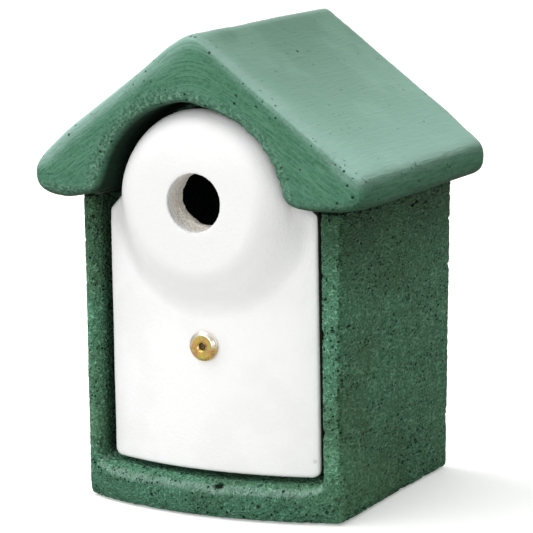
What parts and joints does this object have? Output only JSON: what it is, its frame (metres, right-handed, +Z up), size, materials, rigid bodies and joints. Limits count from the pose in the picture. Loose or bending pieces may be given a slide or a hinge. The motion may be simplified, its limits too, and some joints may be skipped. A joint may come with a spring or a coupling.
{
  "type": "woodcrete nest box",
  "caption": "Cast wood-concrete nest box for small birds with a pitched roof, a removable white front with a domed round entrance, a turning latch inside and a keyhole hanger at the back.",
  "frame": {"origin": "on the ground, under the middle of the box", "axes": "+X to the right seen from the front, +Y to the back, +Z up; the front faces -Y"},
  "size_m": [0.2016, 0.17, 0.2681],
  "materials": {
    "woodcrete_body": "porous, rough, green painted",
    "woodcrete_roof": "brushed, green painted, with pinholes",
    "mortar": "rough",
    "woodcrete_white": "smooth, white painted",
    "zinc_yellow": "yellow passivated",
    "zinc_bright": "bright zinc",
    "galvanised": "galvanised, dull",
    "nylon": "matte"
  },
  "bodies": {
    "box": {"body_shell": "woodcrete_body", "roof": "woodcrete_roof", "roof_mortar_bed": "mortar", "hanger_plate": "galvanised", "hanger_screw_left": "zinc_yellow", "hanger_screw_right": "zinc_yellow", "hanger_plug_left": "nylon", "hanger_plug_right": "nylon"},
    "front": {"front_panel": "woodcrete_white"},
    "latch": {"latch_bolt": "zinc_yellow", "latch_washer": "zinc_bright", "latch_spacer": "zinc_bright", "latch_bar": "zinc_bright", "latch_spring_washer": "zinc_bright", "latch_lock_nut": "zinc_bright"}
  },
  "joints": [
    {"name": "front_pull", "type": "slide", "parent": "box", "child": "front", "axis": [0, -1, 0], "range_m": [0, 0.12]},
    {"name": "latch_turn", "type": "hinge", "parent": "front", "child": "latch", "pos_m": [0, -0.0731, 0.0947], "axis": [0, -1, 0], "continuous": true}
  ]
}
